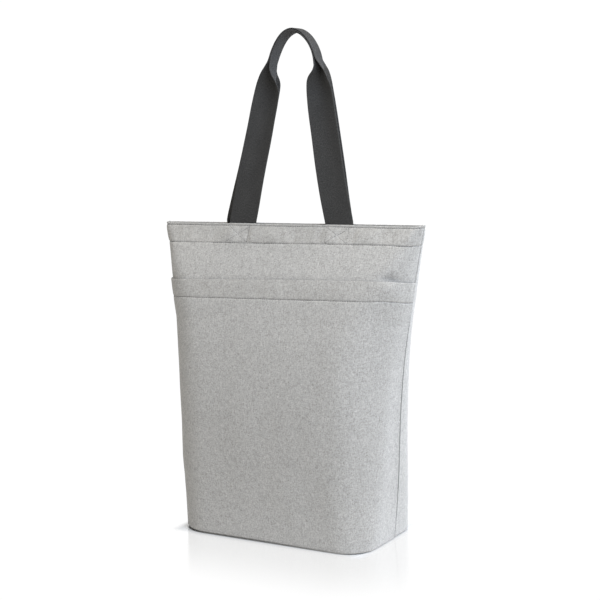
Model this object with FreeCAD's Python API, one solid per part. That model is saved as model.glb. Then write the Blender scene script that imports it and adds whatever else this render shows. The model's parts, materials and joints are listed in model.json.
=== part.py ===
import FreeCAD, Part
import os, math

# Open-top fabric tote bag with a full-width front pocket and two webbing
# carry handles, standing on its base with the handles held up.
# Millimetres, +Z up, origin at the centre of the base on the ground.
# The front (pocket side) faces -Y, +X is to the right seen from the front.

os.makedirs("parts", exist_ok=True)
V = FreeCAD.Vector

FRONT, REAR = -1, 1     # sign of Y on each half of the bag

# ------------------------------------------------------------ dimensions
# Depths are measured inwards from the outer surface of the shell.
HEIGHT = 380.0          # base to rim
FABRIC = 0.8            # shell and pocket fabric
BASE_FABRIC = 0.9       # base sheet
LAYER_GAP = 0.2         # air between two layers that lie on each other
SEAM_GAP = 0.10         # between the two shell halves at the side seam
WALL_BOTTOM = 1.0       # lower edge of shell, pocket and base binding

# Outer cross-section of the shell, a rounded rectangle:
# z, half width, half depth, corner radius
SECTIONS = [
    (0.0, 132.41, 74.66, 38.71),
    (76.0, 140.64, 71.29, 50.12),
    (152.0, 145.35, 68.73, 53.37),
    (228.0, 153.41, 61.94, 56.42),
    (304.0, 165.46, 44.21, 50.0),
    (351.5, 175.36, 22.71, 30.0),
    (380.0, 181.82, 8.57, 8.04),
]
# The section changes linearly between these levels, so that the facets of
# neighbouring layers stay flat and parallel.
BREAKS = [0.0, 30.0, 76.0, 114.0, 152.0, 190.0, 228.0, 266.0, 304.0, 330.0,
          355.5, 366.0, 372.0, 380.0]
SEAM_SET_BACK = 10.0    # the side seam leans this far back at the base
SEAM_TO_CORNER = 0.3    # least distance from the seam line to a corner arc
MIN_SIDE = 0.6          # least half length of the straight side
ARC_STEPS = 5           # facets in a corner

# Mouth hem
HEM_EDGE_Z = 355.5      # turned edge, inside
HEM_TURN_DEPTH = FABRIC + LAYER_GAP
HEM_INNER_DEPTH = HEM_TURN_DEPTH + FABRIC
HEM_STITCH_Z = (356.9, 357.5)
RIM_STITCH_Z = (377.0, 377.5)

# Front pocket; negative depths lie outside the shell
POCKET_TOP = 314.4
POCKET_EDGE_Z = 290.3   # turned edge of the pocket hem, inside
POCKET_STEP_Z = (266.0, 285.0)   # the wall moves out here to clear the turned layer
POCKET_HEM_GAP = 0.1
POCKET_STITCH_Z = (291.9, 292.5)
POCKET_IN = -LAYER_GAP
POCKET_OUT = POCKET_IN - FABRIC      # wall below the hem, and the turned layer
POCKET_HEM_IN = POCKET_OUT - POCKET_HEM_GAP
POCKET_HEM_OUT = POCKET_HEM_IN - FABRIC

THREAD_PROUD = 0.35
THREAD_GAP = 0.05
THREAD_WIDE = 0.5

# Bound seam allowances inside
BINDING_WIDE = 8.0
BINDING_THICK = 2.0
BINDING_DEPTH = FABRIC + 0.15        # where the bindings start
SEAM_BINDING_END_GAPS = (0.6, 0.5)   # above the base binding, below the hem
SEAM_STITCH_END_GAP = 4.0
SEAM_STITCH_IN = 3.0                 # from the binding's wall edge
BASE_BINDING_THICK = 1.8
BASE_BINDING_TOP = 10.0
BASE_BINDING_INNER_DEPTH = BINDING_DEPTH + BASE_BINDING_THICK
BASE_STITCH_Z = (6.0, 6.5)

BOARD_HALF_WIDTH = 120.0
BOARD_HALF_DEPTH = 68.0
BOARD_CORNER = 33.0
BOARD_ARC_STEPS = 6
BOARD_THICK = 2.0

# Carry handle webbing
WEB_WIDE = 38.0
WEB_THICK = 1.2
TAIL_BOTTOM = 359.0
HINGE_Z = 386.0         # the webbing bends here, just above the rim
# The tails are cut on the slant, so that the loop can swing down outside.
TAIL_TOP_IN, TAIL_TOP_OUT = 385.4, 383.4
TAIL_OUTER_DEPTH = HEM_INNER_DEPTH + 0.1
TAIL_INNER_DEPTH = TAIL_OUTER_DEPTH + WEB_THICK
FRONT_LEGS_X = (-61.3, 74.4)
REAR_LEGS_X = (-73.0, 66.5)

# Sewn box with a cross at each webbing end
BOX_HALF_WIDE = 15.5
BOX_BOTTOM, BOX_TOP = 358.2, 376.4
BOX_THREAD_GAP = THREAD_GAP + 0.02
# Start and end of each run, as fractions of the box width and height.
# One diagonal is interrupted where it meets the other.
BOX_RUNS = [
    ((0.0, 0.0), (0.0, 1.0)),
    ((1.0, 0.0), (1.0, 1.0)),
    ((0.04, 0.96), (0.96, 0.04)),
    ((0.04, 0.04), (0.44, 0.44)),
    ((0.56, 0.56), (0.96, 0.96)),
]

# Middle line of each webbing loop, from the left hinge over the grip to the
# right hinge: x, z
FRONT_PATH = [
    (-60.2, 386), (-54.6, 408), (-44.9, 447), (-34.4, 486), (-24.6, 524), (-18.4, 543),
    (-14.6, 552.5), (-11.4, 562), (-9.9, 571), (-7.6, 581), (-3.4, 590), (2.6, 599.3),
    (11.0, 607.4), (22.0, 610.9), (32.0, 607.6), (41.4, 599.3), (47.4, 590), (51.2, 581),
    (53.2, 571), (53.6, 562), (52.9, 552.5), (52.2, 543), (53.0, 524), (57.8, 486),
    (62.8, 447), (69.2, 408), (73.6, 386),
]
REAR_PATH = [
    (-73.0, 386), (-66.5, 408), (-54.5, 447), (-43.5, 486), (-33.6, 524), (-29.2, 543),
    (-27.4, 552.5), (-25.6, 562), (-23.2, 571), (-19.2, 581), (-14.8, 590), (-8.8, 599.3),
    (-0.6, 607.0), (10.5, 610.4), (20.6, 607.2), (29.8, 599.3), (35.9, 590), (39.2, 581),
    (40.6, 571), (41.4, 562), (42.4, 552.5), (43.9, 543), (47.2, 524), (52.8, 486),
    (58.0, 447), (63.2, 408), (66.5, 386),
]
PATH_STEPS = 3          # stations per path segment
# The webbing starts to cup on the legs and is folded flat together at the
# grip: z, angle of each half in degrees
FOLD = [(386, 0), (408, 4), (447, 10), (485, 15), (523, 22), (541, 33), (550, 44),
        (560, 60), (568, 77), (576, 90), (640, 90)]
KNEE = WEB_THICK / 2 + 0.25          # from the middle line to where a half folds
FLAP = WEB_WIDE / 2 - KNEE           # width of a folded half
GRIP_Y = 1.25                        # |y| of the grip's folded edge
LEAN_TOP_Z = 541.0                   # the legs lean inwards up to here
GRIP_STITCH_FROM_Z = 578.0
GRIP_STITCH_IN = 3.0                 # from the flap's free edge


# ------------------------------------------------------------ interpolation
def monotone(xs, ys):
    """Monotone cubic interpolation through the points."""
    last = len(xs) - 1
    step = [xs[i + 1] - xs[i] for i in range(last)]
    slope = [(ys[i + 1] - ys[i]) / step[i] for i in range(last)]

    def end_tangent(near, far):
        tangent = (((2 * step[near] + step[far]) * slope[near] - step[near] * slope[far])
                   / (step[near] + step[far]))
        return tangent if tangent * slope[near] > 0 else 0.0

    tangents = [end_tangent(0, 1)]
    for i in range(1, last):
        tangent = 0.0
        if slope[i - 1] * slope[i] > 0:
            w1 = 2 * step[i] + step[i - 1]
            w2 = step[i] + 2 * step[i - 1]
            tangent = (w1 + w2) / (w1 / slope[i - 1] + w2 / slope[i])
        tangents.append(tangent)
    tangents.append(end_tangent(-1, -2))

    def value(x):
        i = segment(xs, x)
        t = (x - xs[i]) / step[i]
        return hermite(ys[i], ys[i + 1], tangents[i] * step[i], tangents[i + 1] * step[i], t)
    return value


def segment(xs, x):
    """Index of the interval of xs that holds x."""
    i = 0
    while i < len(xs) - 2 and x > xs[i + 1]:
        i += 1
    return i


def hermite(start, end, start_tangent, end_tangent, t):
    """Cubic between two numbers or vectors, t from 0 to 1."""
    return (start * (2 * t**3 - 3 * t**2 + 1) + start_tangent * (t**3 - 2 * t**2 + t)
            + end * (-2 * t**3 + 3 * t**2) + end_tangent * (t**3 - t**2))


def between_breaks(function):
    """The function sampled at BREAKS and linear in between."""
    values = [function(z) for z in BREAKS]

    def value(z):
        i = segment(BREAKS, z)
        t = (z - BREAKS[i]) / (BREAKS[i + 1] - BREAKS[i])
        return values[i] + t * (values[i + 1] - values[i])
    return value


# ------------------------------------------------------------ shell section
SECTION_Z, WIDTHS, DEPTHS, RADII = zip(*SECTIONS)
smooth_depth = monotone(SECTION_Z, DEPTHS)
smooth_radius = monotone(SECTION_Z, RADII)
half_width = between_breaks(monotone(SECTION_Z, WIDTHS))
half_depth = between_breaks(smooth_depth)
corner = between_breaks(lambda z: min(smooth_radius(z), smooth_depth(z) - MIN_SIDE))
# y of the side seam
seam_y = between_breaks(lambda z: max(0.0, min(
    SEAM_SET_BACK * (1 - z / HEIGHT), half_depth(z) - corner(z) - SEAM_TO_CORNER)))


def half_section(z, depth, facing):
    """Points of one half of the section, left seam to right seam."""
    radius = corner(z) - depth
    half = half_width(z) - depth
    straight = half_depth(z) - depth - radius
    left = [(-half, seam_y(z) + facing * SEAM_GAP / 2)]
    for k in range(ARC_STEPS + 1):
        angle = math.pi / 2 * k / ARC_STEPS
        left.append((-(half - radius) - radius * math.cos(angle),
                     facing * (straight + radius * math.sin(angle))))
    return [V(x, y, z) for x, y in left + [(-x, y) for x, y in reversed(left)]]


def levels(low, high):
    """The two heights and the breaks between them."""
    return [low] + [z for z in BREAKS if low + 1e-6 < z < high - 1e-6] + [high]


def rising(depth, low, high):
    """Profile points up a layer face."""
    return [(depth, z) for z in levels(low, high)]


def falling(depth, low, high):
    """Profile points down a layer face."""
    return rising(depth, low, high)[::-1]


# ------------------------------------------------------------ solids
def sides(facet):
    a, b, c = facet
    return (a, b), (b, c), (c, a)


def orient(facets):
    """Give every facet of a closed, connected surface the same sense as the first."""
    users = {}
    for i, facet in enumerate(facets):
        for side in sides(facet):
            users.setdefault(frozenset(side), []).append(i)
    if any(len(found) != 2 for found in users.values()):
        raise RuntimeError("surface not closed")
    flip = {0: False}
    stack = [0]
    while stack:
        i = stack.pop()
        for side in sides(facets[i]):
            for j in users[frozenset(side)]:
                if j not in flip:
                    flip[j] = flip[i] != (side in sides(facets[j]))
                    stack.append(j)
    return [facet[::-1] if flip[i] else facet for i, facet in enumerate(facets)]


def solid_of(triangles):
    """A closed solid from triangles of vectors, in any sense."""
    index, points, facets = {}, [], []
    for triangle in triangles:
        facet = []
        for p in triangle:
            key = (round(p.x, 9), round(p.y, 9), round(p.z, 9))
            if key not in index:
                index[key] = len(points)
                points.append(V(*key))
            facet.append(index[key])
        if len(set(facet)) == 3:
            facets.append(tuple(facet))
    shape = Part.Shape()
    shape.makeShapeFromMesh((points, orient(facets)), 0.0005)
    solid = Part.Solid(shape.Shells[0] if shape.Shells else Part.Shell(shape.Faces))
    if solid.Volume < 0:
        solid.reverse()
    # Coplanar facets are merged, unless merging damages the solid.
    merged = solid.removeSplitter()
    if (merged.ShapeType == "Solid" and merged.isValid()
            and abs(merged.Volume - solid.Volume) < 1e-4 * solid.Volume):
        return merged
    return solid


def clip_ears(polygon):
    """Triangulate a simple polygon of 2-D points, best-shaped ear first."""
    def area(a, b, c):
        return (b[0] - a[0]) * (c[1] - a[1]) - (b[1] - a[1]) * (c[0] - a[0])

    def quality(ids, k):
        """Area over longest side squared, or -1 where there is no ear."""
        ear = (ids[k - 1], ids[k], ids[(k + 1) % len(ids)])
        a, b, c = (polygon[i] for i in ear)
        ear_area = area(a, b, c)
        if ear_area <= 1e-9:
            return -1.0
        for p in (polygon[i] for i in ids if i not in ear):
            if min(area(a, b, p), area(b, c, p), area(c, a, p)) >= -1e-9:
                return -1.0
        return ear_area / max(math.dist(a, b), math.dist(b, c), math.dist(c, a))**2

    count = len(polygon)
    ids = list(range(count))
    if sum(area((0, 0), polygon[i], polygon[(i + 1) % count]) for i in ids) <= 0:
        ids.reverse()
    triangles = []
    while len(ids) > 3:
        qualities = [quality(ids, k) for k in range(len(ids))]
        best = qualities.index(max(qualities))
        if qualities[best] < 0:
            raise RuntimeError("polygon not simple")
        triangles.append((ids[best - 1], ids[best], ids[(best + 1) % len(ids)]))
        ids.pop(best)
    return triangles + [tuple(ids)]


def swept(profile, facing):
    """Sweep a closed (depth, z) profile along one half of the shell."""
    rows = [half_section(z, depth, facing) for depth, z in profile]
    triangles = []
    for k in range(len(profile)):
        k2 = (k + 1) % len(profile)
        # Every facet is split from its lower row, so that layers match.
        low, high = rows[k], rows[k2]
        if profile[k2][1] < profile[k][1]:
            low, high = high, low
        for j in range(len(low) - 1):
            triangles.append((low[j], low[j + 1], high[j + 1]))
            triangles.append((low[j], high[j + 1], high[j]))
    # The tall thin end faces are squashed in z to get better triangles.
    for ids in clip_ears([(depth, z / 20.0) for depth, z in profile]):
        for end in (0, -1):
            triangles.append(tuple(rows[i][end] for i in ids))
    return solid_of(triangles)


def band(outer, inner, low, high, facing):
    """A layer between two depths and two heights."""
    return swept(rising(outer, low, high) + falling(inner, low, high), facing)


def tube_of(rings, caps, other=()):
    """Join rings of points into a closed solid, each end ring triangulated by caps.

    Sides listed in other are split along their other diagonal, so that the
    two faces of a twisted strip match.
    """
    triangles = []
    for low, high in zip(rings, rings[1:]):
        for k in range(len(low)):
            k2 = (k + 1) % len(low)
            if k in other:
                triangles += [(low[k], low[k2], high[k]), (low[k2], high[k2], high[k])]
            else:
                triangles += [(low[k], low[k2], high[k2]), (low[k], high[k2], high[k])]
    for ids in caps:
        for ring in (rings[0], rings[-1]):
            triangles.append(tuple(ring[i] for i in ids))
    return solid_of(triangles)


def bar(rings):
    """Join four-cornered rings."""
    return tube_of(rings, [(0, 1, 2), (0, 2, 3)])


def box_ring(x0, x1, y0, y1, z0, z1):
    """Four corners; z0 goes with y0 and z1 with y1."""
    return [V(x0, y0, z0), V(x1, y0, z0), V(x1, y1, z1), V(x0, y1, z1)]


def sheet(outline, thickness):
    """A flat sheet standing up from its outline."""
    return Part.Face(Part.makePolygon(outline + [outline[0]])).extrude(V(0, 0, thickness))


def save(name, *solids):
    for solid in solids:
        if not solid.isValid() or solid.Volume <= 0:
            raise RuntimeError("%s: bad solid" % name)
    shape = solids[0] if len(solids) == 1 else Part.makeCompound(solids)
    shape.exportStep("parts/%s.step" % name)


# ------------------------------------------------------------ shell and pocket
def shell_half(facing):
    """One half of the shell, its top turned inside as the mouth hem."""
    fold_z = HEIGHT - FABRIC
    return swept(rising(0.0, WALL_BOTTOM, HEIGHT)
                 + falling(HEM_INNER_DEPTH, HEM_EDGE_Z, HEIGHT)
                 + rising(HEM_TURN_DEPTH, HEM_EDGE_Z, fold_z)
                 + falling(FABRIC, WALL_BOTTOM, fold_z), facing)


def base_sheet():
    outline = half_section(0.0, 0.0, FRONT) + half_section(0.0, 0.0, REAR)[::-1]
    return sheet(outline, BASE_FABRIC)


def pocket():
    """Full-width pocket, its top turned inside as a hem."""
    step_low, step_high = POCKET_STEP_Z
    fold_z = POCKET_TOP - FABRIC
    return swept(rising(POCKET_OUT, WALL_BOTTOM, step_low)
                 + rising(POCKET_HEM_OUT, step_high, POCKET_TOP)
                 + falling(POCKET_IN, POCKET_EDGE_Z, POCKET_TOP)
                 + rising(POCKET_OUT, POCKET_EDGE_Z, fold_z)
                 + falling(POCKET_HEM_IN, step_high, fold_z)
                 + falling(POCKET_IN, WALL_BOTTOM, step_low), FRONT)


save("front_panel", shell_half(FRONT))
save("back_panel", shell_half(REAR))
save("bottom_panel", base_sheet())
save("front_pocket", pocket())


# ------------------------------------------------------------ bindings and board
def seam_levels(gap_below, gap_above):
    """Heights along the side seam, between the base binding and the hem."""
    return [BASE_BINDING_TOP + gap_below] + levels(30.0, 330.0) + [HEM_EDGE_Z - gap_above]


def seam_binding(side):
    """The bound side seam allowance, standing inwards."""
    rings = []
    for z in seam_levels(*SEAM_BINDING_END_GAPS):
        wall = half_width(z) - BINDING_DEPTH
        y = seam_y(z)
        rings.append(box_ring(side * wall, side * (wall - BINDING_WIDE),
                              y - BINDING_THICK / 2, y + BINDING_THICK / 2, z, z))
    return bar(rings)


def seam_thread(side):
    """Stitches on the front face of a side seam binding."""
    rings = []
    for z in seam_levels(SEAM_STITCH_END_GAP, SEAM_STITCH_END_GAP):
        x = side * (half_width(z) - BINDING_DEPTH - SEAM_STITCH_IN)
        y = seam_y(z) - BINDING_THICK / 2 - THREAD_GAP
        rings.append(box_ring(x - THREAD_WIDE / 2, x + THREAD_WIDE / 2,
                              y - THREAD_PROUD, y, z, z))
    return bar(rings)


def stiffener_board():
    """Rounded board lying loose on the base sheet."""
    outline = []
    for quarter, (sign_x, sign_y) in enumerate([(1, 1), (-1, 1), (-1, -1), (1, -1)]):
        for k in range(BOARD_ARC_STEPS + 1):
            angle = math.pi / 2 * (quarter + k / BOARD_ARC_STEPS)
            outline.append(V(
                sign_x * (BOARD_HALF_WIDTH - BOARD_CORNER) + BOARD_CORNER * math.cos(angle),
                sign_y * (BOARD_HALF_DEPTH - BOARD_CORNER) + BOARD_CORNER * math.sin(angle),
                BASE_FABRIC + LAYER_GAP))
    return sheet(outline, BOARD_THICK)


save("left_seam_binding", seam_binding(-1))
save("right_seam_binding", seam_binding(1))
save("side_seam_stitching", seam_thread(-1), seam_thread(1))
save("base_seam_binding", *[
    band(BINDING_DEPTH, BASE_BINDING_INNER_DEPTH, WALL_BOTTOM, BASE_BINDING_TOP, facing)
    for facing in (FRONT, REAR)])
save("base_board", stiffener_board())


# ------------------------------------------------------------ stitching round the walls
def thread_band(z_range, inner_depth, facing):
    """A row of stitches whose inner face lies at the given depth."""
    return band(inner_depth - THREAD_PROUD, inner_depth, *z_range, facing)


for name, z_range, inner_depth in (
        ("base_seam_stitching", BASE_STITCH_Z,
         BASE_BINDING_INNER_DEPTH + THREAD_GAP + THREAD_PROUD),
        ("rim_topstitching", RIM_STITCH_Z, -THREAD_GAP),
        ("hem_stitching", HEM_STITCH_Z, -THREAD_GAP)):
    save(name, *[thread_band(z_range, inner_depth, facing) for facing in (FRONT, REAR)])
save("pocket_hem_stitching",
     thread_band(POCKET_STITCH_Z, POCKET_HEM_OUT - THREAD_GAP, FRONT))


# ------------------------------------------------------------ handle ends
def thread_line(x0, z0, x1, z1, facing):
    """A straight run of stitches on the flat part of the hem."""
    low, high = min(z0, z1), max(z0, z1)
    heights = [low] + [z for z in BREAKS if low < z < high] + [high]
    if z1 < z0:
        heights.reverse()
    length = math.hypot(x1 - x0, z1 - z0)
    # half the thread's width, square to the run
    dx = -(z1 - z0) / length * THREAD_WIDE / 2
    dz = (x1 - x0) / length * THREAD_WIDE / 2
    proud = V(0, facing * THREAD_PROUD, 0)
    rings = []
    for z in heights:
        x = x0 + (z - z0) / (z1 - z0) * (x1 - x0)
        a, b = [V(x + s * dx, facing * (half_depth(z + s * dz) + BOX_THREAD_GAP), z + s * dz)
                for s in (-1, 1)]
        rings.append([a, b, b + proud, a + proud])
    return bar(rings)


def box_stitches(legs, facing):
    width, height = 2 * BOX_HALF_WIDE, BOX_TOP - BOX_BOTTOM
    runs = []
    for leg_x in legs:
        left = leg_x - BOX_HALF_WIDE
        for (u0, v0), (u1, v1) in BOX_RUNS:
            runs.append(thread_line(left + u0 * width, BOX_BOTTOM + v0 * height,
                                    left + u1 * width, BOX_BOTTOM + v1 * height, facing))
    return runs


def tails(legs, facing):
    """The webbing ends inside the mouth hem."""
    heights = [(z, z) for z in levels(TAIL_BOTTOM, HEIGHT)] + [(TAIL_TOP_OUT, TAIL_TOP_IN)]
    bars = []
    for leg_x in legs:
        rings = []
        for z_out, z_in in heights:
            wall = half_depth(min(z_out, HEIGHT))
            rings.append(box_ring(leg_x - WEB_WIDE / 2, leg_x + WEB_WIDE / 2,
                                  facing * (wall - TAIL_OUTER_DEPTH),
                                  facing * (wall - TAIL_INNER_DEPTH), z_out, z_in))
        bars.append(bar(rings))
    return bars


# ------------------------------------------------------------ handle loops
LEG_Y = half_depth(HEIGHT) - (TAIL_OUTER_DEPTH + TAIL_INNER_DEPTH) / 2   # webbing middle at the rim
fold_degrees = monotone(*zip(*FOLD))


def fold_at(z):
    return math.radians(min(90.0, max(0.0, fold_degrees(max(z, HINGE_Z)))))


def leg_y(z):
    """|y| of the webbing's middle."""
    t = min(1.0, max(0.0, (z - HINGE_Z) / (LEAN_TOP_Z - HINGE_Z)))
    return LEG_Y + t * (GRIP_Y - LEG_Y)


def smooth_path(path):
    """Points of a smooth curve through the path, in the plane y = 0."""
    points = [V(x, 0, z) for x, z in path]
    last = len(points) - 1
    curve = []
    for i in range(last):
        start, end = points[i], points[i + 1]
        chord = end - start
        start_tangent = end_tangent = chord
        if i > 0:
            before = points[i - 1]
            start_tangent = (end - before) * (
                chord.Length / (chord.Length + (start - before).Length))
        if i + 1 < last:
            after = points[i + 2]
            end_tangent = (after - start) * (
                chord.Length / ((after - end).Length + chord.Length))
        for k in range(PATH_STEPS):
            curve.append(hermite(start, end, start_tangent, end_tangent, k / PATH_STEPS))
    return curve + [points[-1]]


def stations(path, facing):
    """Middle of the webbing and the direction across it, towards the loop's inside."""
    curve = smooth_path(path)
    found = []
    for i, p in enumerate(curve):
        along = curve[min(i + 1, len(curve) - 1)] - curve[max(i - 1, 0)]
        along.normalize()
        across = V(along.z, 0, -along.x)
        if p.z < HINGE_Z + 0.01:             # both ends are cut level with the rim
            across = V(1 if along.z > 0 else -1, 0, 0)
        found.append((V(p.x, facing * leg_y(p.z), p.z), across))
    return found


def loop(path, facing):
    """The free loop of webbing: flat legs, folded lengthwise into the grip."""
    outward = V(0, facing, 0)
    inward = V(0, -facing, 0)
    rings = []
    for centre, across in stations(path, facing):
        fold = fold_at(centre.z)
        halves = []
        for side in (-1, 1):
            knee = centre + across * (side * KNEE)
            tip = knee + (across * (side * math.cos(fold)) + outward * math.sin(fold)) * FLAP
            normal = inward * math.cos(fold) + across * (side * math.sin(fold))
            mitre = (inward + normal) * (WEB_THICK / 2 / (1 + math.cos(fold)))
            offset = normal * (WEB_THICK / 2)
            halves.append([tip + offset, knee + mitre, knee - mitre, tip - offset])
        first, second = halves
        # along the inner face, then back along the outer face
        rings.append(first[:2] + second[1::-1] + second[:1:-1] + first[2:])
    return tube_of(rings, [(0, 1, 6), (0, 6, 7), (1, 2, 5), (1, 5, 6), (2, 3, 4), (2, 4, 5)],
                   other=(4, 5, 6))


def grip_thread(path, facing):
    """Stitches that keep the grip folded, on the face outside the loop."""
    low = KNEE + WEB_THICK / 2 + THREAD_GAP
    high = low + THREAD_PROUD
    near = V(0, facing * (FLAP - GRIP_STITCH_IN), 0)
    far = near + V(0, facing * THREAD_WIDE, 0)
    rings = []
    for centre, across in stations(path, facing):
        if centre.z >= GRIP_STITCH_FROM_Z:
            under, top = centre - across * low, centre - across * high
            rings.append([under + near, under + far, top + far, top + near])
    return bar(rings)


for name, facing, legs, path in (("front", FRONT, FRONT_LEGS_X, FRONT_PATH),
                                 ("rear", REAR, REAR_LEGS_X, REAR_PATH)):
    save(name + "_handle_box_stitching", *box_stitches(legs, facing))
    save(name + "_handle_tails", *tails(legs, facing))
    save(name + "_handle", loop(path, facing))
    save(name + "_grip_stitching", grip_thread(path, facing))
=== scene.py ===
"""A soft two-handled bag with a pocket over its front, standing on a pale floor.

The bag stands on z = 0, its width along x, its front facing -y and its left side at -x.
Its shell is two sheets, front and back, that meet at the side seams. Each sheet is laid out in
cloth coordinates: `along`, the distance along the cloth from the middle of that side (negative
to the left), and z, the height. Lengths are in mm until add_mesh turns them into metres; the
lights, the camera and the floor are in metres.
"""
import json
import math

import bpy
import numpy as np
from mathutils import Matrix, Vector


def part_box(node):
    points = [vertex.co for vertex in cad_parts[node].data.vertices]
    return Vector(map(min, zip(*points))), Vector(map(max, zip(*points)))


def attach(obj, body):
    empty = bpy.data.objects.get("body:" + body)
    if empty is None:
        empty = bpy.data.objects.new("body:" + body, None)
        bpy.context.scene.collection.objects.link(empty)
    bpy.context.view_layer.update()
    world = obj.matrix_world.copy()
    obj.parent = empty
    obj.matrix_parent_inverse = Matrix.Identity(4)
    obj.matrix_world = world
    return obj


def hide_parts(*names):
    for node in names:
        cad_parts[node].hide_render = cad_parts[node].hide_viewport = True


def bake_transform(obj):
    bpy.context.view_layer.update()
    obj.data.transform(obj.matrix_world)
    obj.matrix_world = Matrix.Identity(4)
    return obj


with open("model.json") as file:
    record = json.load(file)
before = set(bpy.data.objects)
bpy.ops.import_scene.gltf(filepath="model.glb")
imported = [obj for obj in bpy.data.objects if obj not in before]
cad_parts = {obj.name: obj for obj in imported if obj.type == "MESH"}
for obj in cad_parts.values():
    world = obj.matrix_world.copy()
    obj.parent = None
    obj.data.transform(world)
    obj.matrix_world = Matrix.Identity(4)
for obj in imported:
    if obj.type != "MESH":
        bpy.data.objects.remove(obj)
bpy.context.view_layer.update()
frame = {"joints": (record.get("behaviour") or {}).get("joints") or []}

FRONT, BACK = True, False


# ---------------------------------------------------------------- sizes read from the CAD
def box_of(node):
    low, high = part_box(node)
    return np.array(low) * 1000, np.array(high) * 1000


def row_height(node):
    """Middle height of a sewn row."""
    low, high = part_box(node)
    return (low.z + high.z) * 500.0


def leg_centres(node):
    """x of the two sewn webbing ends, from the outline of their CAD node."""
    low, high = box_of(node)
    return low[0] + WEB_HALF, high[0] - WEB_HALF


def stitch_boxes(node, centres):
    """Middle x, bottom and top of the two sewn boxes on one side."""
    low, high = box_of(node)
    return [(centre, low[2] + 0.1, high[2] - 0.1) for centre in centres]


WEB_HALF = 19.0            # half the webbing's width
WEB_THICK = 1.2
FABRIC = 0.8
HEM_DEPTH = 1.95           # the doubled hem's inner face, inside the outer one
BOX_HALF = 14.2            # half the width of a sewn box
RIM = 380.0
POCKET_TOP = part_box("front_pocket")[1].z * 1000.0
HEM_STITCH = row_height("hem_stitching")
RIM_STITCH = row_height("rim_topstitching")
POCKET_STITCH = row_height("pocket_hem_stitching")
BASE_STITCH = row_height("base_seam_stitching")
HEM_EDGE = 355.5           # lower edge of the cloth turned in at the rim
POCKET_EDGE = 290.3        # lower edge of the cloth turned in at the pocket's top
TAIL_BOTTOM = box_of("front_handle_tails")[0][2]
HINGE = [j for j in frame["joints"] if j["name"] == "front_handle_swing"][0]["pos_m"]
HINGE_Z = HINGE[2] * 1000.0
LEG_Y = abs(HINGE[1]) * 1000.0

LEGS = {FRONT: leg_centres("front_handle_tails"), BACK: leg_centres("rear_handle_tails")}
STITCH_BOXES = {
    FRONT: stitch_boxes("front_handle_box_stitching",
                        (LEGS[FRONT][0] - 3.8, LEGS[FRONT][1] - 0.6)),
    BACK: stitch_boxes("rear_handle_box_stitching", LEGS[BACK]),
}

# Plan of the shell at seven heights: height, half width, half depth, corner radius
SHAPE_Z, HALF_WIDTH, HALF_DEPTH, CORNER_R = zip(
    (0.0, 132.41, 74.66, 34.0),
    (76.0, 140.64, 71.29, 49.0),
    (152.0, 145.35, 68.73, 53.37),
    (228.0, 153.41, 61.94, 56.42),
    (304.0, 165.46, 44.21, 50.0),
    (351.5, 175.36, 22.71, 30.0),
    (380.0, 181.82, 8.57, 8.04),
)
SEAM_SET_BACK = 10.0       # the side seams' distance behind the middle, at the ground

# Sewn lines aren't level: their rise per mm of x, by height
SLANT = ([0, 225, 292, 314, 332, 357, 372, 380],
         [0, 0, 0.0185, 0.0225, 0.017, 0.0072, 0.0015, 0])
# How far they run down near the side seams, by height
DROOP = ([0, 190, 230, 292, 314, 334, 357, 372, 380],
         [0, 0, 2.0, 5.6, 4.6, 3.4, 2.1, 0.6, 0])


# ---------------------------------------------------------------- curves and noise
def pchip(stations, values, where):
    """Cubic curve through the stations that doesn't overshoot between them."""
    stations, values = np.array(stations, float), np.array(values, float)
    where = np.asarray(where, float)
    gap = np.diff(stations)
    rise = np.diff(values) / gap
    slope = np.zeros(len(stations))
    for i in range(1, len(stations) - 1):
        if rise[i - 1] * rise[i] > 0:
            before, after = 2 * gap[i] + gap[i - 1], gap[i] + 2 * gap[i - 1]
            slope[i] = (before + after) / (before / rise[i - 1] + after / rise[i])
    for end, near, step in ((0, 0, 1), (-1, -1, -1)):
        following = near + step
        slope[end] = (((2 * gap[near] + gap[following]) * rise[near]
                       - gap[near] * rise[following]) / (gap[near] + gap[following]))
        if slope[end] * rise[near] <= 0:
            slope[end] = 0
    i = np.clip(np.searchsorted(stations, where) - 1, 0, len(stations) - 2)
    t = (where - stations[i]) / gap[i]
    return ((2 * t**3 - 3 * t**2 + 1) * values[i] + (t**3 - 2 * t**2 + t) * gap[i] * slope[i]
            + (-2 * t**3 + 3 * t**2) * values[i + 1] + (t**3 - t**2) * gap[i] * slope[i + 1])


def smooth(x, low, high):
    """Smooth step from 0 at low to 1 at high."""
    t = np.clip((np.asarray(x, float) - low) / (high - low), 0, 1)
    return t * t * (3 - 2 * t)


def bell(x, centre, width):
    return np.exp(-(((x - centre) / width) ** 2))


def unit(vectors):
    return vectors / np.linalg.norm(vectors, axis=-1, keepdims=True)


def hash01(column, row, seed):
    n = (column.astype(np.int64) * 374761393 + row.astype(np.int64) * 668265263
         + seed * 974634777) & 0xFFFFFFFF
    n = ((n ^ (n >> 13)) * 1274126177) & 0xFFFFFFFF
    n = (n ^ (n >> 16)) & 0xFFFFFFFF
    return n / 4294967295.0


def noise(x, y, seed):
    """Smooth noise between -1 and 1."""
    x, y = np.broadcast_arrays(np.asarray(x, float), np.asarray(y, float))
    column, row = np.floor(x), np.floor(y)
    fx, fy = x - column, y - row
    fx = fx * fx * fx * (fx * (fx * 6 - 15) + 10)
    fy = fy * fy * fy * (fy * (fy * 6 - 15) + 10)
    near = hash01(column, row, seed) * (1 - fx) + hash01(column + 1, row, seed) * fx
    far = hash01(column, row + 1, seed) * (1 - fx) + hash01(column + 1, row + 1, seed) * fx
    return 2 * (near * (1 - fy) + far * fy) - 1


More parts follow.
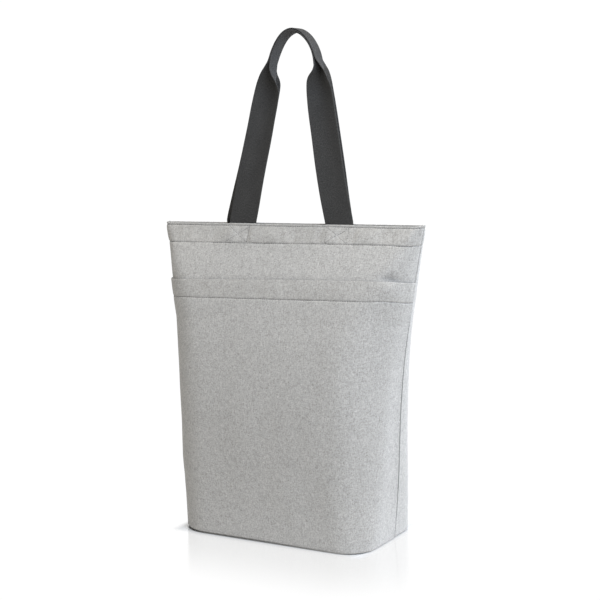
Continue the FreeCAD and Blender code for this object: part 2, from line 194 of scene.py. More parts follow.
def layered(along, z, seed, layers, base=0):
    """Sum of noise layers: amount, width, height, shift along, shift up, seed step."""
    return sum((amount * noise(along / wide + shift, z / tall + rise, seed + step)
                for amount, wide, tall, shift, rise, step in layers), base)


def path_lengths(points):
    """Length of the path up to each of its points."""
    return np.r_[0, np.cumsum(np.linalg.norm(np.diff(points, axis=0), axis=1))]


def on_path(points, lengths, where):
    return np.stack([np.interp(where, lengths, column) for column in points.T], -1)


def blur(padded, reach, sigma):
    """Gaussian blur of a path padded by `reach` points at both ends."""
    weights = np.exp(-0.5 * (np.arange(-reach, reach + 1) / sigma) ** 2)
    weights /= weights.sum()
    return np.stack([np.convolve(column, weights, "valid") for column in padded.T], -1)


# ---------------------------------------------------------------- plain form of the shell
GRID_STEP = 2.0
GRID_Z = np.arange(0.0, 380.01, GRID_STEP)
GRID_COLUMNS = 481


def seam_y(z):
    return SEAM_SET_BACK * (1 - z / RIM)


def drift(z):
    """The upper part of the bag stands a little to the right."""
    return 2.3 * smooth(z, 205, 300)


def outline(z):
    """Front and back plan curves, from seam to seam, and the corner radius at a height.

    The front one runs from the left seam to the right one, the back one the other way.
    """
    wide = float(pchip(SHAPE_Z, HALF_WIDTH, z))
    deep = float(pchip(SHAPE_Z, HALF_DEPTH, z))
    radius = min(float(pchip(SHAPE_Z, CORNER_R, z)), deep - 0.6)
    # the left front corner is rounder near the ground
    left_radius = min(radius + 12.0 * max(0.0, 1 - z / 90.0), deep - 0.6)
    side = deep - radius
    straight = wide - radius
    # the seam runs straight down the side; near the top it lies just on the back corner
    turn = math.asin(min(max(seam_y(z) - side, 0.0) / radius, 1.0))
    seam = np.array([[straight + radius * math.cos(turn), seam_y(z)]])
    count = 40
    quarter = np.linspace(0, np.pi / 2, count)
    lead_turn = np.linspace(0, turn, 5)[:-1] if turn > 0 else np.zeros(0)
    lead = np.c_[straight + radius * np.cos(lead_turn), side + radius * np.sin(lead_turn)]
    mirror = np.array([-1.0, 1.0])
    front = np.vstack([
        seam * mirror,
        lead[::-1] * mirror,
        np.c_[-(wide - left_radius) - left_radius * np.cos(quarter),
              -(deep - left_radius) - left_radius * np.sin(quarter)],
        np.c_[straight + radius * np.sin(quarter), -side - radius * np.cos(quarter)],
        lead,
        seam,
    ])
    right_turn = np.linspace(turn, np.pi / 2, count)
    left_turn = np.linspace(0, np.pi / 2 - turn, count)
    back = np.vstack([
        seam,
        np.c_[straight + radius * np.cos(right_turn), side + radius * np.sin(right_turn)],
        np.c_[-straight - radius * np.sin(left_turn), side + radius * np.cos(left_turn)],
        seam * mirror,
    ])
    return front, back, radius


def resample(points, count):
    """Evenly spaced points along a curve, and its length."""
    lengths = path_lengths(points)
    keep = np.r_[True, np.diff(lengths) > 1e-9]
    points, lengths = points[keep], lengths[keep]
    return on_path(points, lengths, np.linspace(0, lengths[-1], count)), lengths[-1]


def shell_grids():
    """Points, normals and cloth lengths of both sides; every grid row starts at the left seam."""
    points, normals, lengths = {}, {}, {}
    rows = {FRONT: [], BACK: []}
    row_lengths = {FRONT: [], BACK: []}
    for z in GRID_Z:
        front, back, radius = outline(z)
        front, front_length = resample(front, GRID_COLUMNS)
        back, back_length = resample(back, GRID_COLUMNS)
        # soften the corners, less where they are tight or near the ground
        ring = np.vstack([front[:-1], back[:-1]])
        step = (front_length + back_length) / len(ring)
        sigma = min(4.5, 0.22 * radius) * (0.55 + 0.45 * min(z / 40.0, 1.0)) / step
        reach = int(4 * sigma) + 1
        soft = blur(np.vstack([ring[-reach:], ring, ring[:reach]]), reach, sigma)
        front, back = soft[:GRID_COLUMNS - 1], soft[GRID_COLUMNS - 1:]
        front = np.vstack([front, back[:1]])
        back = np.vstack([back, front[:1]])
        level = np.full(GRID_COLUMNS, z)
        rows[FRONT].append(np.c_[front, level])
        rows[BACK].append(np.c_[back[::-1], level])
        row_lengths[FRONT].append(front_length)
        row_lengths[BACK].append(back_length)
    for side in (FRONT, BACK):
        grid = np.array(rows[side])
        across, upward = np.gradient(grid, axis=1), np.gradient(grid, axis=0)
        points[side] = grid
        normals[side] = unit(np.cross(across, upward) if side == FRONT
                             else np.cross(upward, across))
        lengths[side] = np.array(row_lengths[side])
    return points, normals, lengths


GRID, NORMAL, LENGTH = shell_grids()


def sample(grid, share, z):
    """Value of a grid at a share of the half length (-1 left seam, 1 right seam) and a height."""
    row = np.clip(z / GRID_STEP, 0, len(GRID_Z) - 1.000001)
    column = np.clip((share + 1) / 2 * (GRID_COLUMNS - 1), 0, GRID_COLUMNS - 1.000001)
    i, j = row.astype(int), column.astype(int)
    fi, fj = (row - i)[..., None], (column - j)[..., None]
    return ((grid[i, j] * (1 - fj) + grid[i, j + 1] * fj) * (1 - fi)
            + (grid[i + 1, j] * (1 - fj) + grid[i + 1, j + 1] * fj) * fi)


def half_length(z, front):
    return np.interp(z, GRID_Z, LENGTH[front]) / 2


def shell_ring(row, every):
    """Closed plan ring of a grid row, running from the left seam over the front."""
    front, back = GRID[FRONT][row], GRID[BACK][row][::-1]
    return np.vstack([front[:-1, :2], back[:-1, :2]])[::every]


def ring_outward(ring):
    step = unit(np.roll(ring, -1, 0) - np.roll(ring, 1, 0))
    return np.c_[step[:, 1], -step[:, 0]]


# ---------------------------------------------------------------- folds in the cloth
# amount, width, height, shift along, shift up, seed step
BODY_WAVES = ((0.95, 74.0, 118.0, 3.1, 0.4, 0),
              (0.5, 31.0, 72.0, 0, 5.2, 1),
              (0.16, 13.0, 34.0, 0, 0, 2))
HEM_PUCKERS = ((1.05, 15.0, 60.0, 0, 0, 8),
               (0.90, 8.5, 60.0, 0, 0, 4),
               (0.36, 3.9, 40.0, 0, 0, 5))


def relief(along, z, front):
    """Outward movement of the cloth, shared by every layer at that spot."""
    seam = half_length(z, front) - np.abs(along)
    off_middle = np.abs(along)
    seed = 11 if front else 47
    body = smooth(seam, 4, 40) * smooth(z, 2, 45)
    calm_top = 1 - 0.75 * smooth(z, 330, 372)
    out = body * calm_top * layered(along, z, seed, BODY_WAVES)

    # soft upright hollows towards the corners, and the middle standing out
    out += -1.1 * body * bell(off_middle, 150, 20) * bell(z, 190, 95)
    middle = 3.2 if front else 1.6
    out += middle * body * bell(along, 0, 105) * bell(z, 155, 85) * smooth(z, 8, 70)

    # the right front corner runs flatter into its seam, leaving an upright crease there
    if front:
        flatter = (along > 0) * smooth(z, 15, 70) * (1 - 0.7 * smooth(z, 300, 365))
        out += -3.0 * flatter * (1 - np.exp(-seam / 10.0)) * (1 - smooth(seam, 50, 112))

    # faint diagonal tension folds from the lower corners
    diagonal = off_middle * 0.62 + z * 0.5
    out += (0.22 * body * noise(diagonal / 9.0, (off_middle - z) / 70.0, seed + 3)
            * bell(off_middle, 125, 45) * smooth(z, 10, 40) * (1 - smooth(z, 90, 160)))

    # hem: leaning puckers between its two sewn rows, and finer ones just below the lower row
    off_seam = smooth(seam, 1, 8)
    band = np.clip((z - HEM_STITCH) / (RIM_STITCH - HEM_STITCH), 0, 1)
    puff = np.sin(np.pi * band) ** 0.7 * ((z > HEM_STITCH) & (z < RIM_STITCH))
    leaning = along + 0.35 * (z - HEM_STITCH) * noise(along / 45.0, 0.5, seed + 7)
    out += off_seam * puff * layered(leaning, z, seed, HEM_PUCKERS, base=0.42)
    out += (off_seam * 0.34 * noise(along / 7.5, z / 45.0, seed + 6)
            * np.exp(-np.clip(HEM_STITCH - z, 0, 99) / 8.0) * (z < HEM_STITCH))
    # both rows pull the cloth in
    out += -0.80 * bell(z, HEM_STITCH, 0.95) - 0.80 * bell(z, RIM_STITCH, 0.85)

    # a hollow just above the pocket's edge, by the right corner
    if front:
        out += -3.4 * bell(along, 153, 12.5) * bell(z, 317.0, 6.5)

    # the webbing ends behind the hem press it out
    for centre in LEGS[front]:
        over_web = smooth(WEB_HALF + 0.6 - np.abs(along - centre), -0.9, 0.9)
        out = out + 0.62 * over_web * smooth(z, 357.6, 360.5)
    return out


def stitch_dent(along, z, front):
    """The sewn boxes pull the cloth in along their upright and diagonal rows."""
    dent = 0
    for centre, bottom, top in STITCH_BOXES[front]:
        left, right = centre - BOX_HALF, centre + BOX_HALF
        in_height = (z > bottom - 1) & (z < top + 1)
        for x in (left, right):
            dent = dent - 0.45 * bell(along, x, 0.9) * in_height
        middle = (bottom + top) / 2
        for direction in (1, -1):
            run_x, run_z = (right - left) / 2, direction * (top - bottom) / 2
            reach = math.hypot(run_x, run_z)
            offset = ((along - centre) * run_z - (z - middle) * run_x) / reach
            on_row = np.abs(((along - centre) * run_x + (z - middle) * run_z) / reach) < reach
            dent = dent - 0.55 * bell(offset, 0, 0.95) * on_row
    return dent


def shell_point(along, z, depth, front, extra=0.0):
    """Points and normals on the shell, `depth` inside the outer face."""
    along, z = np.broadcast_arrays(np.asarray(along, float), np.asarray(z, float))
    length = half_length(z, front)
    share = np.clip(along / length, -1, 1)
    level_x = sample(GRID[front], share, z)[..., 0]
    droop_width = 52 if front else 26
    sewn_z = np.clip(z + np.interp(z, *SLANT) * level_x
                     - np.interp(z, *DROOP) * smooth(along, length - droop_width, length - 3),
                     0, RIM)
    point = sample(GRID[front], share, sewn_z)
    normal = unit(sample(NORMAL[front], share, sewn_z))
    out = relief(along, z, front) + stitch_dent(along, z, front) + extra - depth
    # the cloth rolls inwards over the last 2.2 mm before the seam
    roll = 2.2
    to_seam = np.clip(length - np.abs(along), 0, roll)
    out = out - 2.5 * (1 - np.sqrt(np.clip(1 - ((roll - to_seam) / roll) ** 2, 0, 1)))
    point = point + normal * out[..., None]
    point[..., 2] += np.clip(z - RIM, 0, None)
    point[..., 0] += drift(z) - 0.5 * smooth(z, 340, 380)
    return point, normal


def lift(x, y):
    """The base edge stands a little off the ground, most at the front left."""
    return (0.25 + 1.2 * smooth(-y, 20, 70) * (1 - smooth(x, -40, 105))
            + 0.25 * smooth(-x, 60, 125))


def settle(points):
    """Move points near the ground up with the base edge."""
    near_ground = 1 - smooth(points[..., 2], 2, 26)
    points = points.copy()
    points[..., 2] += near_ground * lift(points[..., 0], points[..., 1])
    return points


# ---------------------------------------------------------------- materials
class Shader:
    """A material with a Principled surface, and short ways to add nodes to it."""

    def __init__(self, name):
        self.material = bpy.data.materials.new(name)
        self.material.use_nodes = True
        self.tree = self.material.node_tree
        self.tree.nodes.clear()
        self.output = self.node("ShaderNodeOutputMaterial")
        self.bsdf = self.node("ShaderNodeBsdfPrincipled")
        self.link(self.bsdf.outputs[0], self.output.inputs[0])

    def node(self, kind, **settings):
        node = self.tree.nodes.new(kind)
        for key, value in settings.items():
            setattr(node, key, value)
        return node

    def link(self, source, target):
        self.tree.links.new(source, target)

    def put(self, socket, value):
        """Link a socket to another node's output, or set its value."""
        if isinstance(value, bpy.types.NodeSocket):
            self.link(value, socket)
        else:
            socket.default_value = value

    def surface(self, inputs):
        for name, value in inputs.items():
            self.put(self.bsdf.inputs[name], value)

    def math(self, operation, first, second=0.0, third=None, clamp=False):
        node = self.node("ShaderNodeMath", operation=operation, use_clamp=clamp)
        self.put(node.inputs[0], first)
        self.put(node.inputs[1], second)
        if third is not None:
            self.put(node.inputs[2], third)
        return node.outputs[0]

    def times(self, first, second):
        return self.math("MULTIPLY", first, second)

    def add(self, first, second, clamp=False):
        return self.math("ADD", first, second, clamp=clamp)

    def centred(self, value):
        return self.math("SUBTRACT", value, 0.5)

    def wave(self, value, factor):
        """Rounded ridges: the absolute sine of value times factor."""
        return self.math("ABSOLUTE", self.math("SINE", self.times(value, factor)))

    def uv(self):
        uv_map = self.node("ShaderNodeUVMap", uv_map="UVMap")
        split = self.node("ShaderNodeSeparateXYZ")
        self.link(uv_map.outputs[0], split.inputs[0])
        return split.outputs[0], split.outputs[1]

    def vector(self, x, y, z=0.0):
        node = self.node("ShaderNodeCombineXYZ")
        for socket, value in zip(node.inputs, (x, y, z)):
            self.put(socket, value)
        return node.outputs[0]

    def noise(self, vector, scale=1.0, detail=2.0, roughness=0.5):
        node = self.node("ShaderNodeTexNoise")
        self.put(node.inputs["Vector"], vector)
        node.inputs["Scale"].default_value = scale
        node.inputs["Detail"].default_value = detail
        node.inputs["Roughness"].default_value = roughness
        return node.outputs["Fac"]

    def grain(self, x, y, scale, layer, detail=2.0, roughness=0.5):
        """Noise stretched by its own scale in x and y, cut at height `layer`."""
        vector = self.vector(self.times(x, scale[0]), self.times(y, scale[1]), layer)
        return self.noise(vector, detail=detail, roughness=roughness)

    def ramp(self, factor, stops):
        node = self.node("ShaderNodeValToRGB")
        elements = node.color_ramp.elements
        while len(elements) < len(stops):
            elements.new(0.5)
        for i, (position, colour) in enumerate(stops):
            elements[i].position = position
            elements[i].color = (*colour, 1)
        self.put(node.inputs[0], factor)
        return node.outputs[0]

    def mix(self, factor, first, second, blend="MIX"):
        node = self.node("ShaderNodeMix", data_type="RGBA", blend_type=blend)
        self.put(node.inputs[0], factor)
        for socket, value in ((node.inputs[6], first), (node.inputs[7], second)):
            self.put(socket, (*value, 1) if isinstance(value, tuple) else value)
        return node.outputs[2]

    def mix_value(self, factor, first, second):
        node = self.node("ShaderNodeMix", data_type="FLOAT")
        for i, value in ((0, factor), (2, first), (3, second)):
            self.put(node.inputs[i], value)
        return node.outputs[0]

    def bump(self, height, strength, distance, normal=None):
        node = self.node("ShaderNodeBump")
        node.inputs["Strength"].default_value = strength
        node.inputs["Distance"].default_value = distance
        self.put(node.inputs["Height"], height)
        if normal is not None:
            self.link(normal, node.inputs["Normal"])
        return node.outputs[0]

    def attribute(self, name):
        return self.node("ShaderNodeAttribute", attribute_name=name).outputs["Fac"]


def shade(colour, factor):
    return tuple(factor * channel for channel in colour)


def melange(name, light, dark):
    """Plain-woven two-tone polyester: every yarn changes shade along its length."""
    pitch = 0.62
    m = Shader(name)
    u, v = m.uv()
    column = m.math("FLOOR", m.math("DIVIDE", u, pitch))
    row = m.math("FLOOR", m.math("DIVIDE", v, pitch))
    warp = m.grain(column, v, scale=(3.37, 0.34), layer=1.7, roughness=0.6)
    weft = m.grain(u, row, scale=(0.34, 2.91), layer=8.3, roughness=0.6)
    parity = m.math("PINGPONG", m.add(column, row), 1.0)
    yarn = m.mix_value(parity, warp, weft)
    contrast = 2.6
    yarn = m.math("MULTIPLY_ADD", m.centred(yarn), contrast, 0.5, clamp=True)

    # cloudy shading, streaks up and across the cloth, and specks; each with its own weight
    cloud = m.grain(u, v, scale=(0.05, 0.035), layer=0.0, detail=3.0, roughness=0.6)
    upright = m.grain(u, v, scale=(1.05, 0.10), layer=4.0, detail=1.0)
    level = m.grain(u, v, scale=(0.22, 0.85), layer=6.0, detail=1.0)
    speck = m.grain(u, v, scale=(0.8, 0.7), layer=9.0, detail=1.0)
    tone = m.add(m.math("MULTIPLY_ADD", m.centred(cloud), 0.08, 0.0),
                 m.add(m.times(m.centred(upright), 0.52),
                       m.add(m.times(m.centred(level), 0.10),
                             m.times(m.centred(speck), 0.34))))
    colour = m.mix(m.add(yarn, tone, clamp=True), dark, light)
    # a doubled layer reads slightly darker and warmer
    colour = m.mix(m.times(m.attribute("double"), 0.3), colour,
                   m.mix(1.0, colour, (0.86, 0.85, 0.83), blend="MULTIPLY"))
    # painted shade: dark lines in the side seam creases and along the base, where shadow falls
    colour = m.mix(m.times(m.attribute("crease"), 1.0), colour, (0.052, 0.051, 0.049))

    # yarn crowns: each yarn is full across its width and half as strongly rounded lengthwise
    ridge_u = m.wave(u, math.pi / pitch)
    ridge_v = m.wave(v, math.pi / pitch)
    crowns = m.mix_value(
        parity,
        m.times(ridge_u, m.math("MULTIPLY_ADD", ridge_v, 0.5, 0.5)),
        m.times(ridge_v, m.math("MULTIPLY_ADD", ridge_u, 0.5, 0.5)))
    fuzz = m.noise(m.vector(u, v), scale=3.1, detail=3.0, roughness=0.6)
    crumple = m.grain(u, v, scale=(0.11, 0.08), layer=2.0, detail=4.0, roughness=0.55)
    crumpled = m.bump(crumple, strength=0.5, distance=0.0012)
    m.surface({
        "Base Color": colour,
        "Normal": m.bump(m.math("MULTIPLY_ADD", fuzz, 0.3, crowns),
                         strength=0.35, distance=0.00022, normal=crumpled),
        "Roughness": 0.86,
        "Specular IOR Level": 0.15,
        "Sheen Weight": 0.22,
        "Sheen Roughness": 0.45,
    })
    return m.material


def webbing(name, base):
    """Herringbone webbing: the ribs step back and forth across the strap."""
    m = Shader(name)
    across, run = m.uv()
    rib_pitch, cord_pitch, zig_width = 1.25, 0.78, 2.35
    zigzag = m.math("PINGPONG", m.add(across, 100.0), zig_width)
    phase = m.add(m.times(run, 1 / rib_pitch), m.times(zigzag, 0.42))
    rib = m.wave(phase, math.pi)
    cord = m.wave(across, math.pi / cord_pitch)
    height = m.add(m.times(rib, 0.65), m.times(cord, 0.35))
    fibre = m.grain(across, run, scale=(2.2, 0.5), layer=0.0, detail=3.0, roughness=0.6)
    cloud = m.grain(across, run, scale=(0.06, 0.03), layer=3.0)
    fleck = m.grain(across, run, scale=(0.85, 0.62), layer=5.0, roughness=0.65)
    # the outermost 2 mm on each side are painted lighter: a painted highlight along the edges
    edge = m.math("SUBTRACT", m.math("ABSOLUTE", across), WEB_HALF - 2.0)
    edge = m.math("MULTIPLY", edge, 0.5, clamp=True)
    value = m.add(m.times(rib, 0.35),
                  m.add(m.times(fibre, 0.5), m.math("MULTIPLY_ADD", cloud, 0.22, 0.11)))
    value = m.math("MULTIPLY_ADD", m.centred(fleck), 1.15, value)
    colour = m.ramp(value, [(0.18, shade(base, 0.45)), (0.62, base), (1.0, shade(base, 1.9))])
    colour = m.mix(m.times(edge, 0.35), colour, shade(base, 1.8))
    m.surface({
        "Base Color": colour,
        "Normal": m.bump(m.math("MULTIPLY_ADD", fibre, 0.25, height),
                         strength=0.7, distance=0.00035),
        "Roughness": 0.80,
        "Specular IOR Level": 0.08,
        "Sheen Weight": 0.02,
        "Sheen Roughness": 0.4,
    })
    return m.material


def thread(name, base):
    """Twisted thread, its twist running round each stitch."""
    m = Shader(name)
    run, angle = m.uv()
    twist_pitch = 0.55
    twist = m.math("SINE", m.add(m.times(run, 2 * math.pi / twist_pitch),
                                 m.times(angle, 2.0)))
    variation = m.noise(m.vector(m.times(run, 0.3), 0.0))
    m.surface({
        "Base Color": m.ramp(m.add(m.times(twist, 0.18), variation),
                             [(0.2, shade(base, 0.72)), (0.85, shade(base, 1.2))]),
        "Normal": m.bump(twist, strength=0.5, distance=0.00008),
        "Roughness": 0.55,
        "Sheen Weight": 0.15,
    })
    return m.material


def tape(name, base):
    """Binding tape, ribbed across its run."""
    m = Shader(name)
    u, v = m.uv()
    rib = m.wave(v, math.pi / 0.7)
    grain = m.noise(m.vector(u, v), scale=0.9, detail=3.0, roughness=0.6)
    m.surface({
        "Base Color": m.ramp(m.math("MULTIPLY_ADD", grain, 0.5, m.times(rib, 0.45)),
                             [(0.15, shade(base, 0.6)), (0.8, shade(base, 1.2))]),
        "Normal": m.bump(m.math("MULTIPLY_ADD", grain, 0.3, rib),
                         strength=0.6, distance=0.0002),
        "Roughness": 0.8,
    })
    return m.material


def board(name):
    """Dark board with a fine pebbled grain, in object coordinates turned into mm."""
    m = Shader(name)
    place = m.node("ShaderNodeTexCoord")
    mapping = m.node("ShaderNodeMapping")
    mapping.inputs["Scale"].default_value = (1000, 1000, 1000)
    m.link(place.outputs["Object"], mapping.inputs[0])
    pebbles = m.node("ShaderNodeTexVoronoi", feature="DISTANCE_TO_EDGE")
    pebbles.inputs["Scale"].default_value = 0.8
    m.link(mapping.outputs[0], pebbles.inputs["Vector"])
    cloud = m.noise(mapping.outputs[0], scale=0.05, detail=4.0, roughness=0.6)
    m.surface({
        "Base Color": m.ramp(cloud, [(0.3, (0.018, 0.018, 0.019)),
                                     (0.75, (0.045, 0.044, 0.043))]),
        "Normal": m.bump(pebbles.outputs["Distance"], strength=0.35, distance=0.0002),
        "Roughness": m.ramp(cloud, [(0.3, (0.45,) * 3), (0.7, (0.62,) * 3)]),
    })
    return m.material


MATERIALS = {                                   # by slot
    "shell_fabric": melange("shell_melange",
                            light=(0.549, 0.529, 0.492), dark=(0.251, 0.240, 0.221)),
    "base_fabric": melange("base_melange",
                           light=(0.47, 0.465, 0.445), dark=(0.21, 0.206, 0.197)),
    "webbing": webbing("charcoal_webbing", (0.0385, 0.0372, 0.0352)),
    "grey_thread": thread("grey_thread", (0.135, 0.13, 0.124)),
    "dark_thread": thread("charcoal_thread", (0.036, 0.036, 0.036)),
    "binding_tape": tape("binding_tape", (0.27, 0.265, 0.255)),
    "stiffener_board": board("stiffener_board"),
}


# ---------------------------------------------------------------- mesh helpers
def add_mesh(name, verts, faces, uv, attributes=None, smooth_shade=True, turn=False):
    """Add a mesh given in mm; `turn` flips faces that come out turned inwards."""
    mesh = bpy.data.meshes.new(name)
    mesh.from_pydata([tuple(v) for v in (np.asarray(verts) / 1000.0)], [],
                     [tuple(int(i) for i in face) for face in faces])
    mesh.update()
    layer = mesh.uv_layers.new(name="UVMap")
    corner_vertex = np.zeros(len(mesh.loops), np.int32)
    mesh.loops.foreach_get("vertex_index", corner_vertex)
    layer.data.foreach_set("uv", np.asarray(uv, np.float32)[corner_vertex].ravel())
    for key, values in (attributes or {}).items():
        attribute = mesh.attributes.new(key, "FLOAT", "POINT")
        attribute.data.foreach_set("value", np.asarray(values, np.float32))
    mesh.polygons.foreach_set("use_smooth", [smooth_shade] * len(mesh.polygons))
    mesh.validate()
    if turn:
        mesh.flip_normals()
    piece = bpy.data.objects.new(name, mesh)
    bpy.context.scene.collection.objects.link(piece)
    return piece


def paint(piece, material):
    piece.data.materials.clear()
    piece.data.materials.append(material)


def register(piece, slot, *nodes, body=None):
    """Say which body moves the piece and which CAD nodes it stands for, and paint it."""
    if body:
        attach(piece, body)
    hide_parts(*nodes)
    paint(piece, MATERIALS[slot])


def thick_sheet(name, grids, uvs, attributes, flip):
    """Closed sheet from an outer and an inner grid of the same size (rows, columns)."""
    rows, columns = grids[0].shape[:2]
    verts = np.vstack([grid.reshape(-1, 3) for grid in grids])
    uv = np.vstack([layer.reshape(-1, 2) for layer in uvs])
    inner = rows * columns
    i, j = np.meshgrid(np.arange(rows - 1), np.arange(columns - 1), indexing="ij")
    a = (i * columns + j).ravel()
    b = a + columns
    walls = []
    for k in range(columns - 1):                 # bottom and top
        walls.append((k, k + inner, k + 1 + inner, k + 1))
        top = (rows - 1) * columns + k
        walls.append((top, top + 1, top + 1 + inner, top + inner))
    for k in range(rows - 1):                    # the two ends
        left = k * columns
        walls.append((left, left + columns, left + columns + inner, left + inner))
        right = left + columns - 1
        walls.append((right, right + inner, right + columns + inner, right + columns))
    faces = np.vstack([np.c_[a, a + 1, b + 1, b],
                       np.c_[a + inner, b + inner, b + 1 + inner, a + 1 + inner],
                       np.array(walls)])
    if flip:
        faces = faces[:, ::-1]
    values = {key: np.r_[pair[0].ravel(), pair[1].ravel()] for key, pair in attributes.items()}
    return add_mesh(name, verts, faces, uv, values)


def tube_faces(rows, count, closed=False):
    """Faces of `rows` rings of `count` points: capped, or joined end to end when closed."""
    faces = []
    for i in range(rows if closed else rows - 1):
        this, other = i * count, (i + 1) % rows * count
        for j in range(count):
            k = (j + 1) % count
            faces.append((this + j, this + k, other + k, other + j))
    if not closed:
        faces.append(tuple(range(count))[::-1])
        faces.append(tuple((rows - 1) * count + j for j in range(count)))
    return faces


# ---------------------------------------------------------------- shell and pocket
def column_shares():
    """Columns of a sheet as shares of its half length, closer together by the seams."""
    length = float(half_length(190.0, FRONT))
    ends = np.array([0, 0.35, 0.8, 1.35, 2.0, 2.8, 4.0, 6.0])
    reach = length - 8.5
    middle = np.linspace(-reach, reach, int(2 * reach / 2.8) | 1)
    return np.r_[-length + ends, middle, (length - ends)[::-1]] / length, length


SHARES, REFERENCE_LENGTH = column_shares()
ROW_OFFSETS = (-1.7, -1.15, -0.75, -0.35, 0.0, 0.35, 0.75, 1.15, 1.7)


def levels(low, high, fine, sewn_rows):
    """Heights 3 mm apart, 0.75 mm in the fine zones and closer by each sewn row."""
    heights, z = [], low
    while z < high - 1e-6:
        heights.append(z)
        z += 0.75 if any(start <= z < end for start, end in fine) else 3.0
    heights.append(high)
    if len(heights) > 2 and heights[-1] - heights[-2] < 0.3:
        heights.pop(-2)
    for row in sewn_rows:
        heights = [h for h in heights if abs(h - row) > 1.9 or h in (low, high)]
        heights += [row + o for o in ROW_OFFSETS if low + 0.2 < row + o < high - 0.2]
    return np.array(sorted(heights))


def bottom_roll(radius, bottom, degrees, depth=0.0):
    """Outer and inner (depth, height) rows of the edge rolled in at the base."""
    outer, inner = [], []
    for angle in np.radians(degrees):
        cos, sin = math.cos(angle), math.sin(angle)
        outer.append((depth + radius * (1 - cos), bottom + radius * (1 - sin)))
        inner.append((depth + radius - (radius - FABRIC) * cos,
                      bottom + radius - (radius - FABRIC) * sin))
    return outer, inner


def crease_shade(along, z):
    """Painted shade: dark lines in the side seam creases, fading out near the top, and along the
    base where it meets the ground.
    """
    seam = np.exp(-(((1 - np.abs(SHARES)[None, :]) * REFERENCE_LENGTH / 1.5) ** 3))
    seam = seam * (1 - 0.85 * smooth(z, 285, 318))
    base = 0.62 * np.exp(-((z / 1.7) ** 3)) * (1 - smooth(along, 75, 120))
    return np.maximum(seam, base)


def build_sheet(name, node, front, faces, double, uv_shift=(0.0, 0.0)):
    """Sheet from its outer and inner face, each a list of (depth, height) rows and a function
    for its extra outward movement. `double` is where the doubled cloth starts, and the
    half height of its blend."""
    grids, uvs, doubled, painted_crease_shades = [], [], [], []
    for rows, extra in faces:
        depth, z = np.array(rows)[:, :1], np.array(rows)[:, 1:]
        along = SHARES[None, :] * (half_length(z, front) - 0.05)
        movement = extra(along, z) if extra else 0.0
        grids.append(settle(shell_point(along, z, depth, front, movement)[0]))
        along, z = np.broadcast_arrays(along, z)
        uvs.append(np.stack([along + uv_shift[0], z + uv_shift[1]], -1))
        start, blend = double
        doubled.append(smooth(z, start - blend, start + blend))
        painted_crease_shades.append(crease_shade(along, z))
    piece = thick_sheet(name, grids, uvs, {"double": doubled, "crease": painted_crease_shades},
                        flip=not front)
    register(piece, "shell_fabric", node, body="bag")


def build_shell(name, node, front):
    radius, bottom = 2.4, 0.45
    outer, inner = bottom_roll(radius, bottom, [90, 72, 54, 36, 18])
    fine = [(352.0, 379.0)] + ([(308.0, 330.0)] if front else [])
    body = levels(bottom + radius, 378.9, fine, (HEM_STITCH, RIM_STITCH))
    # the hem's turned-in cloth thickens the inner face from its edge up
    thickness = FABRIC + 1.15 * smooth(body, HEM_EDGE - 0.9, HEM_EDGE + 0.1)
    outer += [(0.0, z) for z in body]
    outer += [(0.10, 379.45), (0.28, 379.75), (0.55, 379.93), (0.9, RIM)]
    inner += list(zip(thickness, body))
    inner += [(1.85, 379.45), (1.67, 379.75), (1.4, 379.93), (1.05, RIM)]
    build_sheet(name, node, front, ((outer, None), (inner, None)), double=(HEM_STITCH, 0.5))


def pocket_gape(along, z):
    """How far the pocket's edge stands off the shell, widest by the right corner."""
    gape = (3.7 * bell(along, 153, 14) + 0.8 * bell(along, 95, 30)
            + 0.55 * bell(along, -20, 60) + 0.35 * (1 + noise(along / 22.0, 1.3, 91)))
    gape = gape * smooth(z, 262, POCKET_TOP) ** 1.5
    return gape * smooth(half_length(z, FRONT) - np.abs(along), 6, 40)


def pocket_extra(along, z):
    seed = 71
    off_seam = smooth(half_length(z, FRONT) - np.abs(along), 1, 10)
    extra = pocket_gape(along, z)
    # puckers above the sewn row, then below it
    band = np.clip((z - POCKET_STITCH) / (POCKET_TOP - POCKET_STITCH), 0, 1)
    extra = extra + (off_seam * np.sin(np.pi * band ** 0.8) ** 0.8 * (z > POCKET_STITCH)
                     * (0.22 + 0.22 * noise(along / 11.0, z / 50.0, seed)))
    extra = extra + (off_seam * 0.30 * (1 + noise(along / 8.0, z / 60.0, seed + 1))
                     * np.exp(-np.clip(POCKET_STITCH - z, 0, 99) / 9.0) * (z < POCKET_STITCH))
    # the band leans out towards its edge, least at the left end
    return extra + off_seam * band * (0.9 - 0.6 * bell(along, -150, 45))


STITCH_SINK = 0.70         # depth of the groove along the pocket's sewn row


def pocket_outer_extra(along, z):
    return pocket_extra(along, z) - STITCH_SINK * bell(z, POCKET_STITCH, 0.95)


def build_pocket():
    radius, bottom, gap = 2.2, 0.45, -1.0      # negative depths lie outside the shell
    outer, inner = bottom_roll(radius, bottom, [90, 60, 30], depth=gap)
    body = levels(bottom + radius, 313.4, [(286.0, 314.0)], (POCKET_STITCH,))
    face = gap - 0.9 * smooth(body, 262, 288)
    turned_in = smooth(body, POCKET_EDGE - 0.8, POCKET_EDGE)
    back = (face + FABRIC) * (1 - turned_in) + (-0.2) * turned_in
    outer += list(zip(face, body))
    outer += [(-1.84, 313.9), (-1.68, 314.2), (-1.42, 314.36), (-1.15, POCKET_TOP)]
    inner += list(zip(back, body))
    inner += [(-0.26, 313.9), (-0.42, 314.2), (-0.68, 314.36), (-0.95, POCKET_TOP)]
    build_sheet("pocket", "front_pocket", FRONT,
                ((outer, pocket_outer_extra), (inner, pocket_extra)),
                double=(POCKET_STITCH, 0.4), uv_shift=(211.0, 97.0))


